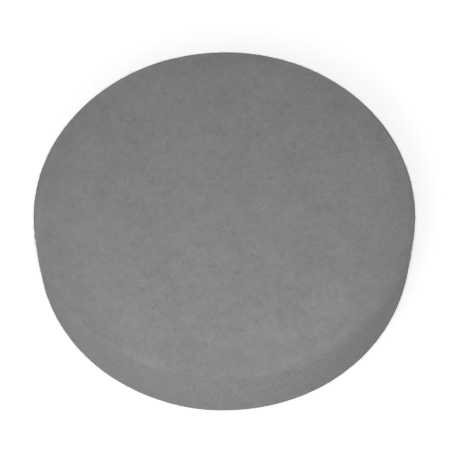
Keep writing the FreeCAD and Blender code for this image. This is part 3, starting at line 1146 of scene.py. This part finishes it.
@dataclass(frozen=True)
class SoftBox:
    """A square soft light that faces the wheel."""

    name: str
    azimuth: float
    elevation: float
    distance: float
    size: float
    power: float

    def build(self, middle: Vector) -> None:
        """Hangs the light.

        Args:
            middle: The point that it faces.
        """
        lamp = bpy.data.lights.new(self.name, "AREA")
        lamp.shape = "SQUARE"
        lamp.size = self.size
        lamp.energy = self.power
        box = bpy.data.objects.new(self.name, lamp)
        aim(box, middle, towards(self.azimuth, self.elevation), self.distance)


@dataclass
class Studio:
    """A white floor, a near key light in front, low fills behind, an even sky, and the camera."""

    floor_half: float = 4.0
    # The floor lies a hair under the hub's mouth, so that their faces never coincide.
    floor_drop: float = 0.02 * MM
    floor_colour: str = "#e6e6e6"
    # The floor shines a little by itself, more away from the wheel, so that its shadow stays.
    lift_radii: Band = (0.12, 0.60)
    lifts: Band = (0.60, 0.86)
    sky_strength: float = 0.19
    # The key is near enough that the far side of the face gets a little less light.
    boxes: Tuple[SoftBox, ...] = (
        SoftBox("key", azimuth=-7.0, elevation=50.0, distance=0.37, size=0.20, power=0.95),
        SoftBox("fill_left", azimuth=-125.0, elevation=8.0, distance=0.70, size=0.90, power=2.6),
        SoftBox("fill_right", azimuth=125.0, elevation=8.0, distance=0.70, size=0.90, power=2.6),
    )
    # The camera stands ten of the wheel's radii away, far enough that the disc hardly tapers.
    radii_away: float = 10.0
    camera_elevation: float = 59.3
    clip_start: float = 0.05
    # The wheel is this share of the picture's width, and its middle lies a little left and high.
    fill: float = 0.821
    radii_left: float = 0.0235
    radii_high: float = 0.0283

    def sky(self) -> None:
        """Makes an even white sky that lights softly and is seen as plain white."""
        world = bpy.data.worlds.new("white_sky")
        world.use_nodes = True
        tree = Tree(world.node_tree)
        strength = tree.add(MAP_RANGE, seen(tree), {"To Min": self.sky_strength, "To Max": 1.0})
        tree.plug(tree.data.nodes["Background"], (1.0, 1.0, 1.0, 1.0), strength)
        bpy.context.scene.world = world

    def floor(self) -> None:
        """Makes a pale matt floor, seen white but for the wheel's shadow, and open from below."""
        tree = Paint("pale_matt_floor")
        tree.data.nodes.remove(tree.data.nodes["Principled BSDF"])
        off = tree.add(VECTOR_MATH + "LENGTH", tree.spot)
        outwards = tree.add(MAP_RANGE, off, *self.lift_radii, *self.lifts)
        lift = tree.add(MULTIPLY, seen(tree), outwards)
        glow = tree.add("ShaderNodeEmission", {"Strength": lift})
        matt = tree.add("ShaderNodeBsdfDiffuse", linear(self.floor_colour))
        above = tree.add("ShaderNodeAddShader", matt, glow)
        side = tree.add("ShaderNodeNewGeometry").outputs["Backfacing"]
        sides = tree.add("ShaderNodeMixShader", side, above, tree.add("ShaderNodeBsdfTransparent"))
        tree.plug(tree.data.nodes["Material Output"], sides)
        half = self.floor_half
        square = ((-half, -half), (half, -half), (half, half), (-half, half))
        mesh = bpy.data.meshes.new("floor")
        mesh.from_pydata([(x, y, -self.floor_drop) for x, y in square], [], [(0, 1, 2, 3)])
        place(mesh, tree.material)

    def camera(self, middle: Vector, radius: float) -> None:
        """Sets up the camera, a long lens looking down on the wheel's front.

        Args:
            middle: The middle of the felt.
            radius: The felt's radius.
        """
        distance = self.radii_away * radius
        lens = bpy.data.cameras.new("camera")
        lens.lens = lens.sensor_width * self.fill * distance / (2 * radius)
        lens.clip_start = self.clip_start
        camera = bpy.data.objects.new("camera", lens)
        away = towards(0.0, self.camera_elevation)
        turn = (-away).to_track_quat("-Z", "Y")
        right, up = turn @ Vector((1.0, 0.0, 0.0)), turn @ Vector((0.0, 1.0, 0.0))
        aim(camera, middle + (right * self.radii_left - up * self.radii_high) * radius, away, distance)
        bpy.context.scene.camera = camera

    def build(self) -> None:
        """Sets up the whole stage about the middle of the felt."""
        low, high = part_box("felt_disc")
        middle = (low + high) / 2
        self.sky()
        self.floor()
        for box in self.boxes:
            box.build(middle)
        self.camera(middle, (high.x - low.x) / 2)
        bpy.context.scene.view_settings.view_transform = "Standard"


def main() -> None:
    """Builds, dresses and stages the wheel."""
    logging.basicConfig(level=logging.INFO, format="%(name)s: %(message)s")
    Studio().build()
    felt = FeltDisc(PressedWool("pressed_wool_felt")).build()
    low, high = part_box("felt_disc")
    # The nap's two zones meet at the shoulder and reach a little past the felt.
    shoulder, margin = high.z - 3 * MM, 1 * MM
    fibre = LooseWool("loose_wool_fibre")
    WoolNap("felt_nap_face", fibre, felt, shoulder, high.z + margin, seed=11).build()
    WoolNap("felt_nap_side", fibre, felt, low.z - margin, shoulder, seed=12).build()
    CementFilm(DriedContactCement("dried_contact_cement")).build()
    zinc_plated = TurnedMetal(
        "zinc_plated_turned_steel",
        shine="#a5a9ae",
        dull="#7a7f86",
        feed=0.5 * MM,
        groove_depth=0.012 * MM,
        roughness=(0.37, 0.21),
        anisotropy=0.4,
        edge_radii=(29.6 * MM, 30.0 * MM),
    )
    Backing(plate_finish=TurnedMetal("turned_aluminium"), hub_finish=zinc_plated).dress()
    PlateScrews(ScrewFinish("zinc_plated_screw_steel")).build()
    shades = ((0.4, "#1b1b1d"), (0.75, "#3a3a3c"))
    black = ScrewFinish("black_oxide_steel", shades, metallic=0.6, roughness=(0.50, 0.34)).build()
    front, side = Vector((0.0, -1.0, 0.0)), Vector((1.0, 0.0, 0.0))
    SetScrew("set_screw_front", Body.FRONT_SCREW, front, black).build()
    SetScrew("set_screw_side", Body.SIDE_SCREW, side, black).build()


if __name__ == "__main__":
    main()
